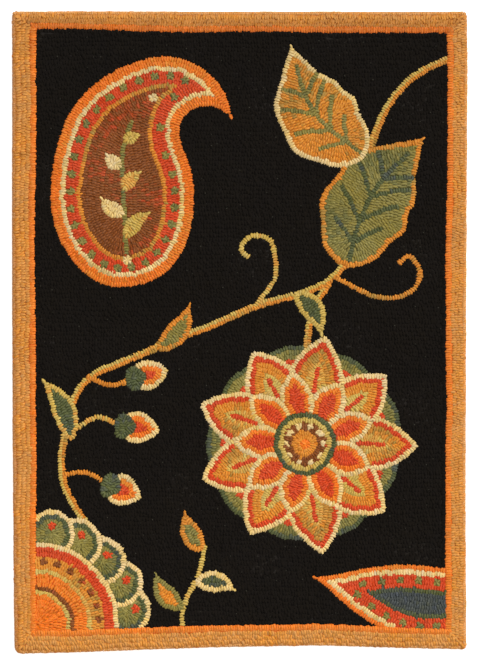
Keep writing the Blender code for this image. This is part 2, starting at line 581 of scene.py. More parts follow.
# %% The vine
MAIN_STEM = ((-150, -245), (-198, -160), (-176, -60), (-84, -14), (16, 28), (104, 62),
             (134, 130), (150, 220), (190, 282), (246, 314))
MAIN_ROW = 3.5
trail("vine", ((74, -20), (80, 24), (100, 58)), ["lime", "gold"], wide=MAIN_ROW)
trail("vine", MAIN_STEM, ["lime", "gold"], wide=MAIN_ROW)
for dye, route in (
    ("lime", ((-192, -112), (-160, -94), (-134, -104))),
    ("gold", ((-170, -50), (-144, -58), (-120, -52))),
    ("gold", ((-198, -160), (-172, -156), (-148, -168))),
    ("lime", ((16, 28), (40, 62), (36, 100), (14, 108), (2, 94), (12, 82))),
    ("gold", ((104, 62), (150, 40), (186, 44), (202, 66), (190, 86), (176, 76))),
    ("lime", ((-64, -346), (-62, -306), (-46, -270), (-40, -236))),
):
    trail("vine", route, [dye])
tell("vine")

# %% [markdown]
# ## Leaves
#
# The two large leaves get an outline in one dye, a body in another, and a midrib with side
# veins. A vein is a single row of loops, and the body's rows stop at it. The small leaves are
# only an outline and a heart.

# %% Leaves
VEIN_PAIRS = 4
FIRST_VEIN, VEINED = 8, 30


def side_veins(rib, width, dye):
    way = headings(rib, closed=False)
    left = to_the_left(way)
    for pair in range(VEIN_PAIRS):
        i = FIRST_VEIN + int(VEINED * pair / VEIN_PAIRS)
        reach = width * 0.37 * math.sin(math.pi * (0.28 + 0.62 * pair / VEIN_PAIRS))
        for side in (1, -1):
            off = reach * (0.85 * way[i] + side * left[i])
            knee = rib[i] + 0.55 * off + 0.06 * reach * way[i]
            trail("leaves", (rib[i], knee, rib[i] + off), [dye])
    trail("leaves", rib[2:-6:5], [dye])


for base, tip, width, bow, edge, body, vein in (
    ((120, 72), (208, 220), 100, 0.10, "gold", "olive", "green"),
    ((140, 196), (56, 322), 88, 0.12, "cream", "gold", "olive"),
):
    shape, rib = leaf(base, tip, width, bow, ripple=0.05)
    hook("leaves", shape, (edge, 1), (body, None))
    side_veins(rib, width, vein)
for base, tip, width, bow, edge, body in (
    ((-190, -120), (-222, -52), 28, -0.10, "lime", "green"),
    ((-92, -20), (-56, 34), 26, -0.12, "gold", "olive"),
    ((60, 46), (92, -4), 26, 0.12, "lime", "green"),
    ((-62, -308), (-96, -268), 24, 0.12, "olive", "gold"),
    ((-50, -278), (-4, -290), 24, 0.12, "cream", "green"),
    ((-42, -244), (-62, -200), 24, 0.10, "gold", "olive"),
):
    hook("leaves", leaf(base, tip, width, bow)[0], (edge, 1), (body, None))
tell("leaves")

# %% [markdown]
# ## Buds
#
# Three buds hang on short stalks: a petal shape in three bands, with a green cup over its base.

# %% Buds
for at, degrees, size in (
    ((-136, -104), -8, 1.0),
    ((-122, -52), 12, 0.95),
    ((-150, -168), -22, 0.95),
):
    flower = petal(0, 46 * size, 36 * size, belly=0.42, power=0.7)
    cup = petal(-5 * size, 20 * size, 30 * size, belly=0.35, power=0.7)
    hook("buds", turned(flower, degrees, at), ("cream", 1), ("orange", 1), ("red", None))
    hook("buds", turned(cup, degrees, at), ("green", None))
tell("buds")

# %% [markdown]
# ## A leaf that runs off the field
#
# Old patterns let a motif run under the border, as if the field went on. Nothing needs to be
# cut for that: the field's cells are the only ones that a motif may paint.

# %% A leaf that runs off the field
cropped, _ = leaf((296, -306), (80, -272), 84, 0.05, belly=0.42)
hook("leaves", cropped, ("orange", 1), ("cream", 1), ("red", 3), ("green", 1), ("navy", None))
dots_along("leaves", cropped, 3.5, 22.0, 4.4, "olive")
tell("leaves")

# %% [markdown]
# ## The paisley
#
# A drop with a curled tip is the oldest of these motifs. Five bands follow its edge, with dots
# in the red one, and a small sprig grows up its heart along the same spine.

# %% The paisley
SPRIG_LEAVES = 5
FIRST_LEAF, LEAF_STEP = 24, 11


def sprig(spine):
    trail("paisley", spine[16:84:8], ["olive"])
    way = headings(spine, closed=False)
    left = to_the_left(way)
    for number in range(SPRIG_LEAVES):
        i = FIRST_LEAF + LEAF_STEP * number
        side = 1 if number % 2 else -1
        tip = spine[i] + (33 - 4 * number) * (0.75 * way[i] + side * 0.9 * left[i])
        dye = "cream" if number % 2 else "lime"
        hook("paisley", leaf(spine[i], tip, 19 - number, 0.1)[0], (dye, None))


drop, drop_spine = teardrop((-122, 48), 330, 80, 95, 168)
hook("paisley", drop, ("orange", 2), ("cream", 1), ("red", 3), ("gold", 1), ("brown", None))
dots_along("paisley", drop, 4.5, 23.0, 4.6, "olive")
sprig(drop_spine)
dot("paisley", drop_spine[94], 5.0, "cream")
dot("paisley", drop_spine[13], 5.5, "cream")
tell("paisley")

# %% [markdown]
# ## The rosette
#
# The large flower is three rings of nine petals round a disc, painted from the outside in.
# The petals of the middle ring differ a little in length, as they would in a drawing by hand.

# %% The rosette
ROSETTE = (72, -124)
PETALS = 9
FIRST_PETAL, FIRST_GAP = -1, 19
REACHES = (126, 119, 123, 117, 125, 120, 118, 124, 119)
HEART = 35


def whorl(shape, *bands):
    """A ring of equal petals between those of the middle ring."""
    for k in range(PETALS):
        hook("blossom", turned(shape, 360 / PETALS * k + FIRST_GAP, ROSETTE), *bands)


whorl(petal(50, 110, 60, belly=0.72, power=0.55), ("green", 1), ("olive", 2), ("red", None))
for k, reach in enumerate(REACHES):
    degrees = 360 / PETALS * k + FIRST_PETAL
    hook("blossom", turned(petal(20, reach, 62, belly=0.50, power=0.8), degrees, ROSETTE),
         ("cream", 1), ("red", 1), ("gold", 2), ("lime", None))
    trail("blossom", turned(((52, 0), (70, 0), (reach - 34, 0)), degrees, ROSETTE), ["red"])
whorl(petal(12, 80, 38, belly=0.55, power=0.75), ("cream", 1), ("orange", 1), ("red", None))
hook("blossom", disc(HEART, at=ROSETTE), ("green", 1), ("lime", 1), ("brown", 2), ("gold", None))
for spot in disc(HEART - 3 * ROW, 10, ROSETTE):
    dot("blossom", spot, 3.4, "cream")
dot("blossom", ROSETTE, 6.0, "orange")
tell("blossom")

# %% [markdown]
# ## The fan
#
# A quarter of a round flower fills the lower left corner: scallops along its rim, and bands
# that follow the circle inwards.

# %% The fan
FAN = (-228, -328)
FAN_RADIUS, SCALLOP_RADIUS = 93, 27
for degrees in range(9, 99, 18):
    scallop = disc(SCALLOP_RADIUS, at=turned((104, 0), degrees, FAN))
    hook("fan", scallop, ("cream", 1), ("green", 1), ("olive", None))
    dot("fan", turned((113, 0), degrees, FAN), 4.8, "red")
hook("fan", disc(FAN_RADIUS, at=FAN), ("cream", 1), ("red", 2), ("gold", 3), ("lime", 1),
     ("orange", 3), ("brown", 1), ("lime", 1), ("orange", None))
for degrees in range(6, 97, 13):
    dot("fan", turned((71.5, 0), degrees, FAN), 4.0, "brown")
tell("fan")
print(f"The ground keeps {(owner == GROUND).sum() / field.sum():.0%} of the field.")

# %% [markdown]
# ## Rows for the ground
#
# A maker first hooks one row of ground round every motif, because it holds the outline crisp.
# What is left is filled with straight rows that wander a little. Both come from the same grid:
# it says how much room the ground has at any place.

# %% Rows for the ground
NEAR_ENOUGH = 0.5
room = depth_in(owner == GROUND, 2 * ROW)


def ground_line(line, inwards):
    """Adds the ground's row along a line: the stretches where the ground starts beside it."""
    beside = np.abs(read(room, line) - 0.5 * ROW - CELL / 2) < NEAR_ENOUGH
    good = (read(owner, line) == GROUND) & beside
    patches[GROUND]["rows"] += [(0, run, closed) for run, closed in runs_of(line, good, inwards)]


ground_line(even(outline(BORDER_ROWS + 0.5 * ROW / ORANGE_ROW), FINE), True)
for patch in patches[GROUND + 1:]:
    if patch["line"] is not None:
        fine = even(patch["line"], FINE)
        ground_line(fine - 0.5 * ROW * to_the_left(headings(fine, reach=2)), True)
for row, y in enumerate(np.arange(-LENGTH / 2, LENGTH / 2, ROW), 1):
    x = np.arange(-WIDTH / 2, WIDTH / 2, 1.0)
    line = np.stack([x, y + 1.5 * np.sin(x / 57 + y / 83)], -1)
    good = (read(owner, line) == GROUND) & (read(room, line) > 1.02 * ROW)
    patches[GROUND]["rows"] += [(row, run, closed) for run, closed in runs_of(line, good, False)]
print(f"The ground has {len(patches[GROUND]['rows'])} stretches of row.")

# %% [markdown]
# ## Room for a loop
#
# Each loop looks at the room that it has. It feels along its own length for the edge of its
# patch and for loops that are there already. It takes the whole gap if that is about one row
# wide, keeps a row's width if there is more, and is left out if there is too little. Then it
# marks the cells under it as taken.

# %% Room for a loop
FEEL = 0.25
PROBE = np.arange(-0.85 * ROW, 0.85 * ROW + 0.01, FEEL)
FOOT_ALONG, FOOT_ACROSS = np.linspace(-0.46, 0.46, 9), np.linspace(-0.42, 0.42, 7)
FOOT = np.stack(np.meshgrid(FOOT_ALONG, FOOT_ACROSS), -1).reshape(-1, 2)
SNUG = 1.4
LEAST_GAP = 0.42
taken = np.zeros(SHAPE, bool)
loops = []


def footprint(points, bars, lengths):
    """Spots spread over the place that each loop would cover."""
    along = FOOT[None, :, :1] * lengths[:, None, None] * bars[:, None]
    return points[:, None] + along + FOOT[None, :, 1:] * PITCH * to_the_left(bars)[:, None]


def is_free(spots, number):
    flat = spots.reshape(-1, 2)
    free = (read(owner, flat) == number) & ~read(taken, flat)
    return free.reshape(spots.shape[:2])


def settle(points, bars, number, row, wide=ROW, needed=0.6):
    """Fits loops into the room that is left for them, and drops those with too little."""
    free = is_free(points[:, None] + PROBE[None, :, None] * bars[:, None], number)
    stop = np.zeros((len(points), 1), bool)
    middle = len(PROBE) // 2
    ahead = FEEL * np.argmin(np.concatenate([free[:, middle:], stop], 1), 1)
    behind = FEEL * np.argmin(np.concatenate([free[:, middle::-1], stop], 1), 1)
    span = ahead + behind
    snug = span < SNUG * wide
    length = np.where(snug, span, wide)
    back = np.where(behind < wide / 2, wide / 2 - behind, 0)
    shift = np.where(ahead < wide / 2, ahead - wide / 2, back)
    points = points + np.where(snug, (ahead - behind) / 2, shift)[:, None] * bars
    spots = footprint(points, bars, length)
    share = is_free(spots, number).mean(1)
    for i in np.flatnonzero((span >= LEAST_GAP * wide) & (share >= needed)):
        column, line = cell_of(spots[i])
        if taken[line, column].mean() <= 1 - needed:
            taken[line, column] = True
            loops.append((*points[i], *bars[i], length[i], number, row))


print(f"A loop feels {PROBE[-1]:.1f} mm to each side, in {len(PROBE)} steps.")

# %% [markdown]
# ## Setting the loops
#
# The patch that was painted last is hooked first, so the ground closes round all the others.
# Each row starts a little further along than the last, because loops that stand in step both
# ways look machine-made. In one corner the border's rows were never quite closed. The cells of
# that slit are marked as taken before any loop is set.

# %% Setting the loops
OUT_OF_STEP = 0.618
SLIT = np.array([(-251.1, 346.6), (-243.3, 341.0)])
TIP_LOOP_IN = 0.45 * ROW
TIP_NEEDED = 0.3


def lay_rows(number, patch):
    """Loops for the sharp tips of a patch first, so that they stay sharp, and then its rows."""
    for tip, way in patch["tips"]:
        if read(owner, [tip - 3 * way])[0] == number:
            settle((tip - TIP_LOOP_IN * way)[None], way[None], number, 0, needed=TIP_NEEDED)
    for points, inwards in patch["stations"]:
        settle(points, inwards, number, 0, patch["wide"])
    for row, line, closed in patch["rows"]:
        start = 0.2 + 0.6 * (OUT_OF_STEP * row % 1)
        spots = even(line, GROUND_PITCH if number == GROUND else PITCH, closed, start)
        settle(spots, to_the_left(headings(spots, closed)), number, row, patch["wide"])


for share in np.linspace(0, 1, 40):
    column, line = cell_of(SLIT[0] + share * (SLIT[1] - SLIT[0]))
    taken[line:line + 3, column:column + 3] = True
for number in range(len(patches) - 1, 0, -1):
    lay_rows(number, patches[number])
print(f"{len(loops)} loops stand in rows.")

# %% [markdown]
# ## Filling in
#
# Where rows meet at an angle, small bare places are left, and a maker pulls a few more loops
# there. The grid finds them: a place is bare if most of the cells within a loop's reach are
# still free. Each new loop takes its direction from its nearest neighbour. On the three
# corners that were closed, a line of short loops is set over the mitre.

# %% Filling in
BARE_REACH = 3
MITRE = np.arange(1.2, BORDER_ROWS - 0.3, 0.55)


def bare_places(share):
    """The free spots of the rug with enough free cells round them."""
    free = (~taken & (owner > 0)).astype(np.int32)
    total = np.pad(free, (BARE_REACH + 1, BARE_REACH)).cumsum(0).cumsum(1)
    size = 2 * BARE_REACH + 1
    strips = total[:, size:] - total[:, :-size]
    around = strips[size:] - strips[:-size]
    lines, columns = np.nonzero((free > 0) & (around >= share * size * size))
    most = np.argsort(-around[lines, columns], kind="stable")
    return CORNER + CELL * (np.stack([columns, lines], -1)[most] + 0.5)


def fill(share, needed):
    tree = KDTree(len(loops))
    for i, loop in enumerate(loops):
        tree.insert((loop[0], loop[1], 0), i)
    tree.balance()
    spots = bare_places(share)
    bars = np.array([loops[tree.find((x, y, 0))[1]][2:4] for x, y in spots]).reshape(-1, 2)
    numbers = read(owner, spots)
    for number in np.unique(numbers):
        mine = numbers == number
        settle(spots[mine], bars[mine], number, None, needed=needed)


for share, needed in ((0.8, 0.8), (0.7, 0.72), (0.62, 0.66), (0.55, 0.6)):
    before = len(loops)
    fill(share, needed)
    print(f"{len(loops) - before} loops fill places that are {share:.0%} bare.")
for across, along, _ in CORNERS[:3]:
    seam = np.array([place(across, along, rows_in) for rows_in in MITRE])
    for rows_in, spot, way in zip(MITRE, seam, headings(seam, closed=False)):
        loops.append((*spot, *way, 0.8 * ROW, GROUND + 1 + int(rows_in), 0))
print(f"{len(loops)} loops in all cover {taken[owner > 0].mean():.0%} of the rug.")

# %% [markdown]
# ## Dyes
#
# Each yarn was dyed in a pot, so its colour is a name and a value, noted as it looks in even light. A
# renderer wants the share of light that the wool sends back, which is the linear value. The wool's
# material paints a pale highlight on the crests of the yarn, so the noted values are a little deeper
# than the pile looks.

# %% Dyes
DYES = {
    "tan": (202, 134, 54), "orange": (219, 118, 23), "black": (21, 17, 13), "cream": (217, 190, 132),
    "red": (199, 68, 19), "brown": (131, 69, 15), "olive": (137, 125, 59), "green": (83, 89, 48),
    "navy": (64, 70, 70), "gold": (206, 133, 37), "lime": (195, 167, 84),
}


def linear(colour):
    share = np.array(colour) / 255
    return np.where(share <= 0.04045, share / 12.92, ((share + 0.055) / 1.055) ** 2.4)


wool_colours = {dye: linear(colour) for dye, colour in DYES.items()}
print(f"The palest wool sends back {max(c.max() for c in wool_colours.values()):.0%} of red light.")

# %% [markdown]
# ## Which dye each loop has
#
# The bands of a patch say which dye a row has. A loop that only fills a gap takes the row that the
# grid's depth puts it in. Hand-dyed wool is never one even colour, so each yarn runs towards a
# kindred dye in soft clouds, as where a maker goes from one skein into the next, and each loop is a
# little warmer or cooler than its neighbour. Painted light makes the wool a little paler towards the
# lower end and towards the left, as if the light fell a little stronger there.

# %% Which dye each loop has
KINDRED = {
    "olive": ("green", 0.5), "gold": ("olive", 0.4), "green": ("navy", 0.5), "lime": ("gold", 0.5),
    "cream": ("lime", 0.3), "orange": ("gold", 0.4), "brown": ("red", 0.3),
}
BLEND_REACH = 2.2
MOST_BLENDED = 0.65
CLOUD = 26.0
WARMER = (0.02, -0.01, -0.18)
BLACK_WARMTH, MOTIF_WARMTH = 0.2, 0.5
# Painted light: the colour gets paler towards the lower end and towards the left.
PAINTED_LIGHT_DOWNWARDS = 0.085
PAINTED_LIGHT_LEFTWARDS = 0.02
rng = np.random.default_rng(11)

spots = np.array([loop[:2] for loop in loops])
x, y = spots.T
bars = np.array([loop[2:4] for loop in loops])
lengths = np.array([loop[4] for loop in loops])
numbers = np.array([loop[5] for loop in loops])
in_motif = numbers > GROUND + BORDER_ROWS
from_depth = (read(depth, spots) / ROW).astype(int)
rows = [deep if loop[6] is None else loop[6] for loop, deep in zip(loops, from_depth)]


def dye_of(number, row):
    """The dye of a row, counted from the edge of its patch."""
    for dye, count in patches[number]["bands"]:
        if count is None or row < count:
            return dye
        row -= count
    return dye


dyes = np.array([dye_of(number, row) for number, row in zip(numbers, rows)])
cloud = wave(x, y, CLOUD, CLOUD, 2) + rng.normal(0, 0.6, len(spots))
warmth = wave(y, x, 17, 23, 2) + rng.normal(0, 1.0, len(spots))
warmth *= np.where(dyes == "black", BLACK_WARMTH, np.where(in_motif, MOTIF_WARMTH, 1.0))
yarns = np.array([wool_colours[dye] for dye in dyes])
for dye, (kin, share) in KINDRED.items():
    mine = (dyes == dye) & in_motif
    above = cloud[mine] - np.quantile(cloud[mine], 1 - share)
    blend = np.clip(above / BLEND_REACH, 0, MOST_BLENDED)[:, None]
    yarns[mine] += blend * (wool_colours[kin] - yarns[mine])
yarns *= 1 + np.outer(warmth, WARMER)
# Painted light, paler towards the lower end and the left.
painted_light_slope = 1 - PAINTED_LIGHT_DOWNWARDS * y / (LENGTH / 2) - PAINTED_LIGHT_LEFTWARDS * x / (WIDTH / 2)
yarns *= painted_light_slope[:, None]
print({dye: int((dyes == dye).sum()) for dye in DYES})

# %% [markdown]
# ## How each loop stands
#
# The loops of the field stand upright. The loops of the edge row lean far out over the rim and
# are longer, so the rug's edge is soft all the way down, and the next rows fan out a little
# less each. At the top of the rug the inner rows of the border lean in instead. In the tan
# rows the work wanders: loops stand a little before or behind the line, and they curl this
# way and that, most of all near the corners, where the maker had to turn it.

# %% How each loop stands
FOOT_HEIGHT, EDGE_FOOT_HEIGHT = 2.6, 1.9
FIELD_DROP, FIELD_WAVE, WAVE_LENGTH = 0.4, 0.3, 170.0
ROW_LEANS = np.radians((-48, -13, -4, 2, 2))
MORE_AT_THE_TOP = np.radians((0, 4, 9, 13, 15))
CURL_REACH = 60.0
MOST_CURL, MOST_RIPPLE = np.radians((14, 11))
EDGE_SETBACK = 3.0
UNEVEN = 0.6
WANDER = 0.7

in_border = (numbers > GROUND) & ~in_motif
on_edge = numbers == GROUND + 1
in_orange_row = numbers == GROUND + BORDER_ROWS
in_tan_rows = in_border & ~on_edge & ~in_orange_row
row_number = np.clip(numbers - GROUND - 1, 0, BORDER_ROWS - 1)
at_the_top = in_border & (bars[:, 1] < -0.7)

turn_field = 2 * math.pi / WAVE_LENGTH
swell = np.sin(turn_field * x + 0.6) * np.cos(turn_field * y)
crests = np.where(in_border, THICKNESS, THICKNESS - FIELD_DROP + FIELD_WAVE * swell)
feet = np.where(on_edge, EDGE_FOOT_HEIGHT, FOOT_HEIGHT)
leans = in_border * ROW_LEANS[row_number] + at_the_top * MORE_AT_THE_TOP[row_number]

corner_gap = np.hypot(WIDTH / 2 - np.abs(x), LENGTH / 2 - np.abs(y))
drift = wave(x, y, 19, 31, 2) + wave(y, x, 13, 7)
swirl = wave(x, y, 2.9, 4.3, 2) + np.sin(y / 3.3 + x / 9)
ripple = wave(x, y, 5.1, 8) + wave(y, x, 4.7, 7)
near_corner = np.clip(1 - corner_gap / CURL_REACH, 0, 1)
curl = np.where(in_tan_rows, np.maximum(near_corner, 0.6 * np.clip(drift - 1.1, 0, 1)), 0)
headings_of = np.arctan2(bars[:, 1], bars[:, 0]) + MOST_CURL * curl * swirl
headings_of += MOST_RIPPLE * ripple * in_tan_rows
uneven = rng.uniform(-UNEVEN, UNEVEN, len(spots))
uneven *= np.where(in_orange_row, 0.5, 1.0 + 0.8 * in_tan_rows)
shift = np.where(on_edge, EDGE_SETBACK, uneven + WANDER * drift * in_tan_rows)
places = np.column_stack([spots + shift[:, None] * bars, feet])
turns = np.column_stack([np.zeros(len(spots)), leans, headings_of])
print(f"{on_edge.sum()} loops lean over the rim, and {(curl > 0.3).sum()} curl at the corners.")

# %% [markdown]
# ## How full each loop is
#
# Yarn is springy, so neighbours share their room: each loop is made longer and wider than its own
# place, and they press into each other. The ground is packed tightest. The border gets fuller towards
# the lower end, and there painted shade darkens its dye by about the light that the fuller loops
# would gain. Where the rows of the border lean or meet the rim, painted shade, with a little painted
# light in two places, stands in for the light that comes back from them. In a hooked pile less light
# is also deeper colour, so this painted shade works most on blue and least on red.
#
# Each loop is now a place, a turn and a size, which is exactly what an instance needs.

# %% How full each loop is
EDGE_LENGTH, EDGE_HEIGHT = 6.6, 6.1
EDGE_WIDTH, GROUND_WIDTH, BORDER_WIDTH, MOTIF_WIDTH = 1.9, 1.70, 1.28, 1.34
SHARED, PACKED_SHARED = 4.2, 4.4
FULLER_DOWNWARDS = 0.16
# Painted shade: the fuller lower border's dye is darkened by about the light that its fuller loops
# gain.
SHADE_FOR_FULLER = 0.45
# Painted shade, with a little painted light in two places: the border rows at the top, the sides of
# the rim, and how much more it deepens blue than red.
PAINTED_SHADE_AT_THE_TOP = np.array((0.98, 1.02, 0.89, 0.83, 0.88))
RIGHT_BOTTOM_LEFT_RIM_PAINTED_SHADE = (0.97, 1.02, 0.80)
PAINTED_SHADE_POWERS = (1.0, 1.4, 2.0)

on_ground = numbers == GROUND
fuller = 1 + FULLER_DOWNWARDS * in_border * np.clip(-y / (LENGTH / 2), 0, 1)
widths = (EDGE_WIDTH * EDGE_PITCH, GROUND_WIDTH * PITCH, BORDER_WIDTH * fuller * PITCH)
wide = np.select((on_edge, on_ground, in_border), widths, MOTIF_WIDTH * PITCH)
shared = np.where(on_ground | in_tan_rows, PACKED_SHARED, SHARED)
tall = np.where(on_edge, EDGE_HEIGHT, crests - feet)
sizes = np.column_stack([np.where(on_edge, EDGE_LENGTH, lengths + shared), wide, tall])
# Painted shade on the rim by its side and on the inner rows at the top, deepest in blue.
rim_painted_shades = np.interp(bars[:, 0], (-1, 0, 1), RIGHT_BOTTOM_LEFT_RIM_PAINTED_SHADE)
painted_light_factors = np.where(at_the_top, PAINTED_SHADE_AT_THE_TOP[row_number], np.where(on_edge, rim_painted_shades, 1))
yarns *= painted_light_factors[:, None] ** PAINTED_SHADE_POWERS
# Painted shade for the fuller loops of the lower border.
yarns /= fuller[:, None] ** SHADE_FOR_FULLER
print(f"A loop of the ground is {np.median(sizes[on_ground], 0).round(1)} mm long, wide and high.")

# %% [markdown]
# ## Node trees as expressions
#
# Geometry Nodes and shaders are both trees of small steps. Built by hand in Python, they
# become pages of `nodes.new` and `links.new`. A small class makes them read like formulas:
# `1 - mask * 0.4` adds two Math nodes. Everything that isn't arithmetic goes through `add`,
# which takes the node's type, the values or links of its sockets, and its settings. The
# settings are set first, because some of them change the sockets.

# %% Node trees as expressions
class Wire:
    """An output socket that Python's signs work on, each with a Math node."""

    def __init__(self, graph, socket):
        self.graph = graph
        self.socket = socket

    def __add__(self, other):
        return self.graph.math("ADD", self, other)

    def __sub__(self, other):
        return self.graph.math("SUBTRACT", self, other)

    def __rsub__(self, other):
        return self.graph.math("SUBTRACT", other, self)

    def __mul__(self, other):
        return self.graph.math("MULTIPLY", self, other)

    def __pow__(self, other):
        return self.graph.math("POWER", self, other)

    def __abs__(self):
        return self.graph.math("ABSOLUTE", self)

    def sin(self):
        return self.graph.math("SINE", self)

    __radd__ = __add__
    __rmul__ = __mul__


class Step:
    """A node whose outputs are read by name or number."""

    def __init__(self, graph, node):
        self.graph = graph
        self.node = node

    def __getitem__(self, output):
        return Wire(self.graph, self.node.outputs[output])


class Graph:
    """Adds nodes to one tree and links them."""

    def __init__(self, tree):
        self.tree = tree

    def set(self, socket, value):
        if isinstance(value, Wire):
            self.tree.links.new(value.socket, socket)
        else:
            socket.default_value = value

    def add(self, kind, sockets=None, **settings):
        node = self.tree.nodes.new(kind)
        for name, value in settings.items():
            setattr(node, name, value)
        for name, value in (sockets or {}).items():
            self.set(node.inputs[name], value)
        return Step(self, node)

    def math(self, operation, *values):
        return self.add("ShaderNodeMath", dict(enumerate(values)), operation=operation)[0]

    def vector(self, operation, *values):
        return self.add("ShaderNodeVectorMath", dict(enumerate(values)), operation=operation)[0]

    def scaled(self, colour, factor):
        sockets = {0: colour, "Scale": factor}
        return self.add("ShaderNodeVectorMath", sockets, operation="SCALE")[0]

    def xyz(self, *values):
        return self.add("ShaderNodeCombineXYZ", dict(enumerate(values)))[0]


# %% [markdown]
# ## One loop
#
# Each loop is a hairpin of yarn: up out of the cloth, over, and down again. It is swept here
# from two curves, an arc that stands on its ends and a small ring that follows it. A plain arc
# would stand too pointed, so a power squares its shoulders, as the shaft of a hook does. The
# yarn is pinched where it passes the cloth and swells towards its crest, so the arc's radius
# changes along it. The loop is 1 long, 1 wide and 1 high, because each instance brings its
# own size.
#
# Each loop must stay at a few dozen faces. With smooth shading, a yarn of four or five sides
# already looks round from a step away.

# %% One loop
SQUARENESS = 0.5
PINCH = 0.20


def stored(graph, geometry, name, value):
    """The same geometry, with one more value noted on each of its points."""
    sockets = {"Geometry": geometry, "Name": name, "Value": value}
    return graph.add("GeometryNodeStoreNamedAttribute", sockets, data_type="FLOAT", domain="POINT")[0]


def loop_of_yarn(graph, bends, sides, roll, thickness):
    """A hairpin of yarn along X, swept by nodes."""
    factor = graph.add("GeometryNodeSplineParameter")["Factor"]
    turn = factor * math.pi
    side = (turn + math.pi / 2).sin()
    across = graph.math("SIGN", side) * abs(side) ** SQUARENESS * (0.5 - thickness)
    hairpin = graph.xyz(across, 0, turn.sin() ** SQUARENESS * (1 - thickness))
    fullness = (1 - PINCH) + PINCH * turn.sin()
    arc = graph.add("GeometryNodeCurveArc",
                    {"Resolution": bends, "Radius": 1.0, "Sweep Angle": math.pi})
    arch = graph.add("GeometryNodeSetPosition", {"Geometry": arc["Curve"], "Position": hairpin})
    pinched = graph.add("GeometryNodeSetCurveRadius", {"Curve": arch[0], "Radius": fullness})
    circle = graph.add("GeometryNodeCurvePrimitiveCircle", {"Resolution": sides, "Radius": 1.0})
    rolled = graph.add("GeometryNodeTransform",
                       {"Geometry": circle["Curve"], "Rotation": graph.xyz(0, 0, roll)})
    section = graph.add("GeometryNodeTransform",
                        {"Geometry": rolled[0], "Scale": graph.xyz(0.5, thickness, 1.0)})
    return graph.add("GeometryNodeCurveToMesh",
                     {"Curve": stored(graph, pinched[0], "along", factor), "Fill Caps": True,
                      "Profile Curve": stored(graph, section[0], "around", factor)})[0]


# %% [markdown]
# ## Setting a loop on every point
#
# The tree takes a mesh of bare points, each with its turn, size and dye as attributes. It sets
# a loop on every point, gives each a small random twist, stretch and tone with a fixed seed,
# and makes the instances real, because an export drops them otherwise.

# %% The tree that sets the loops
LOOP_INPUTS = (
    ("Bends", "NodeSocketInt", 5),
    ("Sides", "NodeSocketInt", 5),
    ("Roll", "NodeSocketFloat", math.pi / 2),
    ("Thickness", "NodeSocketFloat", 0.19),
    ("Twist", "NodeSocketVector", (0.05, 0.08, 0.16)),
    ("Stretch", "NodeSocketVector", (0.18, 0.08, 0.05)),
    ("Tone", "NodeSocketFloat", 0.07),
    ("Seed", "NodeSocketInt", 3),
)


def loops_tree():
    tree = bpy.data.node_groups.new("set_the_loops", "GeometryNodeTree")

    def new_socket(name, kind, in_out="INPUT"):
        return tree.interface.new_socket(name=name, in_out=in_out, socket_type=kind)

    new_socket("Points", "NodeSocketGeometry")
    for name, kind, default in LOOP_INPUTS:
        new_socket(name, kind).default_value = default
    new_socket("Yarn", "NodeSocketMaterial")
    new_socket("Loops", "NodeSocketGeometry", "OUTPUT")
    graph = Graph(tree)
    given = graph.add("NodeGroupInput")

    def random(least, most, step, first=0, kind="FLOAT_VECTOR"):
        """A value between two limits, another one for each point."""
        sockets = {first: least, first + 1: most, "Seed": given["Seed"] + step}
        return graph.add("FunctionNodeRandomValue", sockets, data_type=kind)[first // 2]

    def random_vector(most, step):
        return random(graph.scaled(most, -1.0), most, step)

    def attribute(name):
        sockets = {"Name": name}
        return graph.add("GeometryNodeInputNamedAttribute", sockets, data_type="FLOAT_VECTOR")[0]

    turn = graph.vector("ADD", attribute("turn"), random_vector(given["Twist"], 0))
    stretch = graph.vector("ADD", random_vector(given["Stretch"], 1), (1, 1, 1))
    size = graph.vector("MULTIPLY", attribute("size"), stretch)
    tone = random(given["Tone"] * -1, given["Tone"], 2, 2, "FLOAT") + 1
    loop = loop_of_yarn(graph, given["Bends"], given["Sides"], given["Roll"], given["Thickness"])
    placed = graph.add("GeometryNodeInstanceOnPoints",
                       {"Points": stored(graph, given["Points"], "tone", tone), "Instance": loop,
                        "Rotation": turn, "Scale": size})
    made = graph.add("GeometryNodeRealizeInstances", {"Geometry": placed[0]})
    for name in ("turn", "size"):
        made = graph.add("GeometryNodeRemoveAttribute", {"Geometry": made[0], "Name": name})
    soft = graph.add("GeometryNodeSetShadeSmooth", {"Geometry": made[0]})
    spun = graph.add("GeometryNodeSetMaterial", {"Geometry": soft[0], "Material": given["Yarn"]})
    graph.add("NodeGroupOutput", {"Loops": spun[0]})
    return tree


set_the_loops = loops_tree()
print(f"The tree has {len(set_the_loops.nodes)} nodes.")

# %% [markdown]
# ## Steps that the materials share
#
# The wool, the cotton under it and the floor are built from the same few steps: noise, ramps
# and mixes, and a light that swings a little round 1. They go into small functions first.

# %% Steps that the materials share
def new_material(name, roughness, sheen, specular):
    material = bpy.data.materials.new(name)
    material.use_nodes = True
    shader = material.node_tree.nodes["Principled BSDF"]
    shader.inputs["Roughness"].default_value = roughness
    shader.inputs["Sheen Weight"].default_value = sheen
    shader.inputs["Specular IOR Level"].default_value = specular
    return material, Graph(material.node_tree), shader


def attribute(graph, name, output="Fac"):
    return graph.add("ShaderNodeAttribute", attribute_name=name)[output]


def noise(graph, at, scale, detail):
    return graph.add("ShaderNodeTexNoise", {"Vector": at, "Scale": scale, "Detail": detail})["Fac"]


def swing(share, value):
    """A light round 1 that a value from 0 to 1 moves by a share in all."""
    return 1 - share / 2 + share * value


def ramp(graph, value, low, high):
    """0 below low, 1 above high, and even steps between."""
    return graph.add("ShaderNodeMapRange", {"Value": value, "From Min": low, "From Max": high})[0]


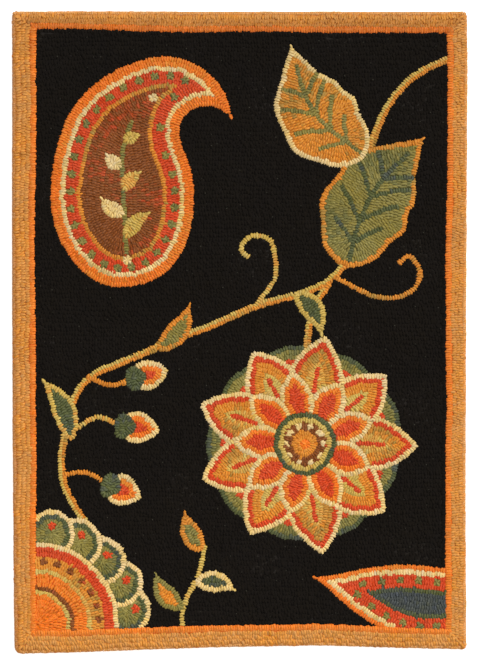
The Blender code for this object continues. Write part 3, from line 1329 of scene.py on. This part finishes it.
def mixed(graph, share, without, full):
    return graph.add("ShaderNodeMix", {"Factor": share, 6: without, 7: full}, data_type="RGBA")[2]


def add_relief(graph, shader, relief, strength, deep):
    bump = {"Strength": strength, "Distance": deep * MM, "Height": relief}
    graph.set(shader.inputs["Normal"], graph.add("ShaderNodeBump", bump)["Normal"])


# %% [markdown]
# ## Deep colour and lint
#
# The lower a loop reaches into the pile, the more often its light has gone from wool to wool,
# and each time the dye takes its share. So the colour is multiplied by itself down there, and
# only the crests show it plain. Lint could be real fluff on the pile, but the specks are no
# larger than a loop, so a pattern of cells with one speck in each is enough.

# %% Deep colour and lint
DEEP_GAIN, DEEP_LEAST = 0.9, 0.45
LINT = (0.085, 0.083, 0.060, 1.0)
LINT_SPACING = 0.027
LINT_SIZE = 0.0006


def deepened(graph, dye):
    """A dye's colour down between the yarns, where light goes from wool to wool."""
    tint = graph.vector("MULTIPLY_ADD", dye, (DEEP_GAIN,) * 3, (DEEP_LEAST,) * 3)
    return graph.vector("MULTIPLY", dye, tint)


def with_lint(graph, at, colour):
    """A few pale specks, one to a cell, of different sizes."""
    sockets = {"Vector": at, "Scale": 1 / LINT_SPACING}
    specks = graph.add("ShaderNodeTexVoronoi", sockets, voronoi_dimensions="2D", feature="F1")
    chance = graph.add("ShaderNodeSeparateXYZ", {0: specks["Color"]})[0]
    size = LINT_SIZE / LINT_SPACING
    speck = ramp(graph, specks["Distance"] + 0.7 * size * chance, 1.5 * size, 0.6 * size)
    return mixed(graph, speck * (0.25 + 0.75 * chance), colour, LINT)


print(f"About {WIDTH * LENGTH * (MM / LINT_SPACING) ** 2:.0f} specks could lie on the rug.")

# %% [markdown]
# ## Wool
#
# Wool is matt, and every fibre that stands off the yarn catches some light at a grazing angle, which
# is sheen. Close up, the yarn shows two plies wound round each other, fine fibres, and a heathered
# colour. All of that is worked out from the loop's own attributes and from Object coordinates, so it
# stays with the rug in any view. Light and shade are also painted into the colour: the crests are
# lighter and the flanks and ends of each yarn darker, deep colour lies between the yarns, a pale
# highlight is painted on the lit crests, and a pale grey-brown like dust is mixed into the feet of
# the yarn as painted fill light, so the gaps don't read as deep shade. The edge loops stand free, so
# their painted light reaches almost all the way down. The black ground hides its relief, but it shows
# any lint.

# %% Wool
PLIES, TURNS_PER_LOOP, PLY_LIGHT = 2, 3.0, 0.13
FIBRES_PER_METRE, FIBRE_LIGHT = 1500, 0.28
HEATHER_PER_METRE = 400
CLOUDS_PER_METRE, CLOUD_LIGHT = 65, 0.36
CREST_LIGHT = 0.08
FLANK, SHOULDER = (0.02, 0.27), (0.08, 0.30)
HIGHLIGHT_SPECKS = (0.75, 1.25)
# A painted highlight: this pale colour is mixed into the lit crests of the yarn.
PAINTED_HIGHLIGHT_COLOUR = (0.85, 0.78, 0.66, 1.0)
# Painted fill light: a pale grey-brown, like dust, mixed into the feet of the yarn so the gaps read
# less dark.
PAINTED_FILL_COLOUR = (0.40, 0.33, 0.26, 1.0)
PAINTED_FILL_SHARE, PAINTED_FILL_FROM = 0.35, 1.5


def wool(name, sheen, painted_highlight, mottle, round_shade, lit_between, painted_fill_to, lint=False):
    """A yarn's material, with painted light between two heights and painted fill light below a third,
    all in millimetres.
    """
    material, graph, shader = new_material(name, roughness=0.9, sheen=sheen, specular=0.05)
    at = graph.add("ShaderNodeTexCoord")["Object"]
    height = graph.add("ShaderNodeSeparateXYZ", {0: at})["Z"]
    around, along = attribute(graph, "around"), attribute(graph, "along")
    ply = ((PLIES * around + TURNS_PER_LOOP * along) * (2 * math.pi)).sin()
    fibres = noise(graph, at, FIBRES_PER_METRE, 3)
    heather = noise(graph, at, HEATHER_PER_METRE, 2)
    clouds = noise(graph, at, CLOUDS_PER_METRE, 2)

    # Painted light and shade: lighter crests, darker flanks and ends of each yarn.
    crest = ramp(graph, height, lit_between[0] * MM, lit_between[1] * MM)
    flank = ramp(graph, abs(around - 0.5), *FLANK)
    shoulder = ramp(graph, abs(along - 0.5), *SHOULDER)
    lit = crest * (1 - round_shade * flank) * (1 - round_shade * shoulder)
    light = swing(FIBRE_LIGHT, fibres) * swing(mottle, heather) * swing(CLOUD_LIGHT, clouds)
    light = light * (1 + PLY_LIGHT * ply) * (1 - CREST_LIGHT + CREST_LIGHT * lit)
    light = light * attribute(graph, "tone")

    dye = attribute(graph, "dye", "Color")
    colour = mixed(graph, lit, deepened(graph, dye), dye) if round_shade else dye
    # Painted highlight on the lit crests, in specks that follow the fibres.
    highlight_specks = ramp(graph, fibres + heather, *HIGHLIGHT_SPECKS)
    colour = mixed(graph, painted_highlight * lit * highlight_specks, graph.scaled(colour, light), PAINTED_HIGHLIGHT_COLOUR)
    # Painted fill light low down on the yarn.
    low = ramp(graph, height, painted_fill_to * MM, PAINTED_FILL_FROM * MM)
    colour = mixed(graph, PAINTED_FILL_SHARE * low, colour, PAINTED_FILL_COLOUR)
    if lint:
        colour = with_lint(graph, at, colour)
    graph.set(shader.inputs["Base Color"], colour)
    add_relief(graph, shader, 0.5 * ply + fibres, strength=0.55, deep=0.35)
    return material


dyed_wool = wool("dyed_wool", sheen=0.02, painted_highlight=0.07, mottle=0.60, round_shade=0.28,
                 lit_between=(5.6, 7.6), painted_fill_to=5.0)
edge_wool = wool("edge_wool", sheen=0.02, painted_highlight=0.16, mottle=0.60, round_shade=0.28,
                 lit_between=(0.0, 2.0), painted_fill_to=5.0)
black_wool = wool("black_wool", sheen=0.03, painted_highlight=0.0, mottle=0.10, round_shade=0.0,
                  lit_between=(5.6, 7.6), painted_fill_to=6.6, lint=True)
print(f"The wool's material has {len(dyed_wool.node_tree.nodes)} nodes.")

# %% [markdown]
# ## A map for each piece
#
# A piece needs a map for its textures. All its loops have the same faces in the same order, so
# one small layout is worked out for the first loop and laid out again for each of the others,
# as tiles in a square. Blender could unwrap the mesh too, but with thousands of loops that is
# slow, and they would lie in the map in any order.

# %% A map for each piece
TILE_MARGIN = 0.06
CAP_SHARE = 0.06
LEVEL = 1e-4


def values_of(mesh, name):
    values = np.zeros(len(mesh.vertices), np.float32)
    mesh.attributes[name].data.foreach_get("value", values)
    return values


def tile_map(mesh, count):
    """Lays each loop out in a tile of its own: along the yarn upwards, around it to the right."""
    corners = np.zeros(len(mesh.loops), int)
    mesh.loops.foreach_get("vertex_index", corners)
    starts = np.zeros(len(mesh.polygons), int)
    mesh.polygons.foreach_get("loop_start", starts)
    per_loop = len(corners) // count
    starts = np.append(starts[:len(starts) // count], per_loop)
    around, along = (values_of(mesh, name)[corners[:per_loop]] for name in ("around", "along"))
    layout = np.column_stack([around, CAP_SHARE + (1 - 2 * CAP_SHARE) * along])
    for start, end in zip(starts, starts[1:]):
        face = slice(start, end)
        if np.ptp(along[face]) < LEVEL:
            turn = spread(end - start, 0) * 2 * math.pi
            middle = 0.4 * CAP_SHARE if along[start] < 0.5 else 1 - 0.4 * CAP_SHARE
            layout[face, 0] = 0.5 + 0.4 * np.cos(turn)
            layout[face, 1] = middle + 0.35 * CAP_SHARE * np.sin(turn)
        elif np.ptp(around[face]) > 0.5:
            layout[face, 0] = np.where(around[face] < 0.1, 1.0, around[face])
    layout = TILE_MARGIN + (1 - 2 * TILE_MARGIN) * layout
    side = math.ceil(math.sqrt(count))
    tiles = np.stack([np.arange(count) % side, np.arange(count) // side], -1)
    uv = (layout[None] + tiles[:, None]) / side
    mesh.uv_layers.new(name="OFBake").uv.foreach_set("vector", uv.ravel())


# %% [markdown]
# ## Hooking the pieces
#
# The loops are grouped as a maker would speak of them: border, ground, leaves, flower and so
# on. Each group becomes a mesh of points, the tree sets its loops, and the result is kept as a
# plain mesh. The ground is one colour in thousands of loops, so it gets two pieces and a
# slightly simpler loop. The edge row has its own wool, so it is a piece of its own, and its
# loops are the most even ones.

# %% Hooking the pieces
def add_object(name, data):
    obj = bpy.data.objects.new(name, data)
    bpy.context.scene.collection.objects.link(obj)
    return obj


def points_mesh(name, chosen):
    mesh = bpy.data.meshes.new(name)
    mesh.from_pydata((places[chosen] * MM).tolist(), [], [])
    for label, kind, item, values in (
        ("turn", "FLOAT_VECTOR", "vector", turns[chosen]),
        ("size", "FLOAT_VECTOR", "vector", sizes[chosen] * MM),
        ("dye", "FLOAT_COLOR", "color", np.column_stack([yarns[chosen], np.ones(chosen.sum())])),
    ):
        mesh.attributes.new(label, kind, "POINT").data.foreach_set(item, values.ravel())
    return mesh


def set_inputs(modifier, values):
    for item in modifier.node_group.interface.items_tree:
        if item.in_out == "INPUT" and item.name in values:
            modifier[item.identifier] = values[item.name]


def plain_mesh(obj):
    """The evaluated object as a plain mesh, with its modifiers gone."""
    evaluated = obj.evaluated_get(bpy.context.evaluated_depsgraph_get())
    mesh = bpy.data.meshes.new_from_object(evaluated)
    bpy.data.objects.remove(obj)
    return mesh


def hook_piece(name, chosen, yarn, seed, **simpler):
    points = add_object(name + "_points", points_mesh(name + "_points", chosen))
    modifier = points.modifiers.new("set_the_loops", "NODES")
    modifier.node_group = set_the_loops
    set_inputs(modifier, {"Seed": seed, "Yarn": yarn, **simpler})
    mesh = plain_mesh(points)
    mesh.name = name
    tile_map(mesh, int(chosen.sum()))
    triangles = len(mesh.loops) - 2 * len(mesh.polygons)
    print(f"{name}: {chosen.sum()} loops, {triangles} triangles")
    return add_object(name, mesh)


PLAIN_LOOP = {"Bends": 4, "Sides": 4, "Roll": 0.75 * math.pi, "Twist": (0.07, 0.10, 0.34)}
BORDER_LOOP = {"Bends": 6, "Stretch": (0.10, 0.14, 0.05), "Tone": 0.10}
MOTIF_LOOP = {"Bends": 6, "Sides": 4, "Twist": (0.05, 0.08, 0.13), "Stretch": (0.10, 0.08, 0.05)}
TIDY_LOOP = {"Twist": (0.03, 0.04, 0.06), "Stretch": (0.03, 0.05, 0.03), "Tone": 0.04}
piece_of = np.array([patches[number]["piece"] for number in numbers])
upper = y > 0
pile = [
    hook_piece("ground_loops_upper", on_ground & upper, black_wool, 1, **PLAIN_LOOP),
    hook_piece("ground_loops_lower", on_ground & ~upper, black_wool, 2, **PLAIN_LOOP),
    hook_piece("edge_loops", on_edge, edge_wool, 3, **TIDY_LOOP),
    hook_piece("border_loops", piece_of == "border", dyed_wool, 4, **BORDER_LOOP),
]
for seed, name in enumerate(("vine", "leaves", "buds", "paisley", "blossom", "fan"), 5):
    pile.append(hook_piece(name + "_loops", piece_of == name, dyed_wool, seed, **MOTIF_LOOP))

# %% [markdown]
# ## The bed of the pile
#
# The loops stand in a coarse cotton cloth. Its upper side could be a flat plate in one colour, but
# between the loops it should show the feet of the yarn, each in its own dye. So it is triangulated
# over a grid of points, and every face takes the dye above it with painted shade, a little darker,
# except under black, where painted light makes it lighter so the gaps don't read as holes. Under open
# ground all faces are black, so there one point in nine will do.

# %% The bed of the pile
CLOTH_GRID = 4.0
SPARSE = 3
OPEN_GROUND = 1.5 * ROW
BED_ROWS_IN = 0.85
# Painted shade on the bed under dyed yarn, and painted light under black.
BED_PAINTED_SHADE, BLACK_BED_PAINTED_LIGHT = 0.85, 1.7


def bed_colour(points):
    """The colour under each point of the rug, from the patch and depth that the grid holds."""
    keys = np.column_stack([read(owner, points), (read(depth, points) / ROW).astype(int)])
    pairs, back = np.unique(keys, axis=0, return_inverse=True)
    names = [dye_of(number, deep) for number, deep in pairs]
    # Painted light under black, painted shade under every other dye.
    painted_light_factors = [BLACK_BED_PAINTED_LIGHT if dye == "black" else BED_PAINTED_SHADE for dye in names]
    colours = np.array([wool_colours[dye] for dye in names]) * np.array(painted_light_factors)[:, None]
    return colours[back.ravel()]


def bed_points():
    """A grid of points inside the rim, coarser under open ground."""
    steps = (np.arange(-edge / 2, edge / 2, CLOTH_GRID) for edge in (WIDTH, LENGTH))
    columns, lines = np.meshgrid(*steps)
    grid = np.stack([columns.ravel(), lines.ravel()], -1)
    inside = whole_sheet(*cells_inside(outline(BED_ROWS_IN)))
    sparse = (np.indices(columns.shape) % SPARSE == 0).all(0).ravel()
    open_ground = (read(owner, grid) == GROUND) & (read(room, grid) > OPEN_GROUND)
    return grid[read(inside, grid) & (sparse | ~open_ground)]


print(f"The bed has {len(bed_points())} points.")

# %% [markdown]
# ## The cloth underneath
#
# From above the cloth hardly shows, but it closes the rug: its upper side is the bed, its rim
# is folded under, and its back is what lies on the floor. The rim is a few rings of points, so
# the fold looks soft from the side. The back is level and needs no grid, so a fan of triangles
# from its middle closes it.

# %% The cloth underneath
BED_HEIGHT = 6.4
RIM = ((0.32, 0.0), (0.20, 0.7), (0.22, 1.9))
# Painted shade: the folded rim takes the tan dye, darkened, as it lies in shade under the edge loops.
RIM_PAINTED_SHADE = 0.6
COTTON = linear((214, 198, 165))
INSIDE_ONLY, CLOSEST = 1, 1e-6


def weave_foundation():
    """The bed, triangulated inside a ring of points, then the rim's rings and the back."""
    line = outline(RIM[-1][0], CLOTH_GRID)
    count = len(line)
    rings = []
    for rows, height in RIM:
        narrower = 2 * (rows - RIM[-1][0]) * EDGE_ROW / np.array([WIDTH, LENGTH])
        rings.append(np.column_stack([line * (1 - narrower), np.full(count, height)]))
    flat = [Vector(p) for p in np.concatenate([line, bed_points()])]
    ring_face = [list(range(count))]
    verts, _, faces, *_ = delaunay_2d_cdt(flat, [], ring_face, INSIDE_ONLY, CLOSEST)
    top = np.column_stack([np.array(verts), np.full(len(verts), BED_HEIGHT)])
    top[:count, 2] = RIM[-1][1]
    points = np.concatenate([top, *rings[:-1], [[0.0, 0.0, 0.0]]])
    base = [len(top) + count * k for k in range(len(rings) - 1)] + [0]
    sides = [(lower + i, lower + (i + 1) % count, upper + (i + 1) % count, upper + i)
             for lower, upper in zip(base, base[1:]) for i in range(count)]
    middle = len(points) - 1
    underside = [(middle, base[0] + (i + 1) % count, base[0] + i) for i in range(count)]
    mesh = bpy.data.meshes.new("foundation_cloth")
    mesh.from_pydata((points * MM).tolist(), [], [*faces, *sides, *underside])
    bed = bed_colour(np.array([top[list(face), :2].mean(0) for face in faces]))
    # The rim in the tan dye with painted shade.
    rim = np.tile(wool_colours["tan"] * RIM_PAINTED_SHADE, (len(sides), 1))
    colours = np.concatenate([bed, rim, np.tile(COTTON, (count, 1))])
    layer = mesh.attributes.new("dye", "FLOAT_COLOR", "FACE")
    layer.data.foreach_set("color", np.column_stack([colours, np.ones(len(colours))]).ravel())
    return mesh


foundation = add_object("foundation_cloth", weave_foundation())
print(f"The cloth has {len(foundation.data.polygons)} faces.")

# %% [markdown]
# ## Cotton
#
# The cloth is a plain weave: each thread goes over one, under the next. Two sines give the
# round of the threads in both directions, and their product says which one is on top.

# %% Cotton
THREAD = 1.25
SLUBS_PER_METRE = 210


def cotton(name):
    material, graph, shader = new_material(name, roughness=0.92, sheen=0.1, specular=0.2)
    at = graph.add("ShaderNodeTexCoord")["Object"]
    axes = graph.add("ShaderNodeSeparateXYZ", {0: at})
    warp, weft = ((axes[axis] * (math.pi / (THREAD * MM))).sin() for axis in ("X", "Y"))
    over = 0.5 + 0.5 * warp * weft
    threads = over * warp * warp + (1 - over) * weft * weft
    slubs = noise(graph, at, SLUBS_PER_METRE, 3)
    light = (0.80 + 0.20 * threads) * swing(0.30, slubs)
    graph.set(shader.inputs["Base Color"], graph.scaled(attribute(graph, "dye", "Color"), light))
    add_relief(graph, shader, threads + 0.4 * slubs, strength=0.7, deep=0.4)
    return material


cotton_cloth = cotton("cotton_cloth")
foundation.data.materials.append(cotton_cloth)
print(f"The cotton's material has {len(cotton_cloth.node_tree.nodes)} nodes.")

# %% [markdown]
# ## Fitting the pieces to the frame
#
# Everything is already where the imported model has it, so nothing is moved. Each piece rides on the
# one body, and the imported solid is hidden. The cloth was cut to this size, and it is laid flat with
# its pile on it.

# %% Fitting the pieces to the frame
for piece in (foundation, *pile):
    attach(piece, "root")
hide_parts("rug")
hem = 2 * RIM[0][0] * EDGE_ROW
CLOTH_WIDTH, CLOTH_LENGTH = WIDTH - hem, LENGTH - hem
CLOTH_WIDTH * MM
CLOTH_LENGTH * MM
print(f"The cloth was cut to {CLOTH_WIDTH:.0f} by {CLOTH_LENGTH:.0f} mm.")

# %% [markdown]
# ## Floor and light
#
# A rug is photographed flat on a white floor, under light so even that it hardly throws a
# shadow. A pale world does most of that, and the floor glows a little, so it stays white beside
# the rug. One large soft panel beyond the upper right corner keeps a little direction in the
# light, so that the rows of loops still show as ribs.

# %% Floor and light
FLOOR_SIZE = 24.0
FLOOR_GAP = 0.3 * MM
FLOOR_COLOUR = (0.93, 0.93, 0.93)
FLOOR_GLOW = 0.62
WHITE = (1.0, 1.0, 1.0, 1.0)
WORLD_STRENGTH = 0.60


def floor_plane():
    low, high = -FLOOR_SIZE / 2, FLOOR_SIZE / 2
    corners = [(x, y, -FLOOR_GAP) for x, y in ((low, low), (high, low), (high, high), (low, high))]
    mesh = bpy.data.meshes.new("floor")
    mesh.from_pydata(corners, [], [(0, 1, 2, 3)])
    material, graph, shader = new_material("white_floor", roughness=0.9, sheen=0.0, specular=0.1)
    blotches = noise(graph, graph.add("ShaderNodeTexCoord")["Object"], 3, 1)
    graph.set(shader.inputs["Base Color"], graph.scaled(FLOOR_COLOUR, swing(0.02, blotches)))
    shader.inputs["Emission Color"].default_value = WHITE
    shader.inputs["Emission Strength"].default_value = FLOOR_GLOW
    mesh.materials.append(material)
    return add_object("floor", mesh)


def panel(name, at, size, power):
    """A soft square light that looks at the middle of the rug."""
    light = bpy.data.lights.new(name, "AREA")
    light.size = size
    light.energy = power
    lamp = add_object(name, light)
    lamp.location = at
    lamp.rotation_euler = Vector(at).to_track_quat("Z", "Y").to_euler()


floor_plane()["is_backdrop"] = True
panel("soft_panel", at=(5.9, 5.2, 7.6), size=5.0, power=1045)
world = bpy.data.worlds.new("studio")
bpy.context.scene.world = world
world.use_nodes = True
background = world.node_tree.nodes["Background"].inputs
background["Color"].default_value = WHITE
background["Strength"].default_value = WORLD_STRENGTH
bpy.context.scene.view_settings.view_transform = "Standard"

# %% [markdown]
# ## Camera
#
# The rug is seen from straight above, with its upper end at the top of the picture. The camera
# stands far off with a long lens, so all loops are seen from above. One pixel of the picture
# is 1.12 mm on the rug, and that gives the lens.

# %% Camera
PICTURE_HEIGHT = 668
PIXEL = 1.12
CAMERA_HEIGHT = 4.0
LOOKS_AT = (0.2, -1.7)

camera_data = bpy.data.cameras.new("camera")
camera_data.sensor_fit = "VERTICAL"
camera_data.sensor_height = 36
camera_data.lens = camera_data.sensor_height * CAMERA_HEIGHT / (PICTURE_HEIGHT * PIXEL * MM)
camera = add_object("camera", camera_data)
camera.location = (LOOKS_AT[0] * MM, LOOKS_AT[1] * MM, CAMERA_HEIGHT)
bpy.context.scene.camera = camera
print(f"The lens is {camera_data.lens:.0f} mm long.")

# %% [markdown]
# ## The size, before and after
#
# The looks may not change the size of the rug. The imported model's box and the finished one are
# printed side by side, so the two can be compared.

# %% The size, before and after
boxes = {"packed": packed_bounds, "finished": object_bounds()}
boxes = {name: [[float(v) for v in corner] for corner in box] for name, box in boxes.items()}
print(boxes)
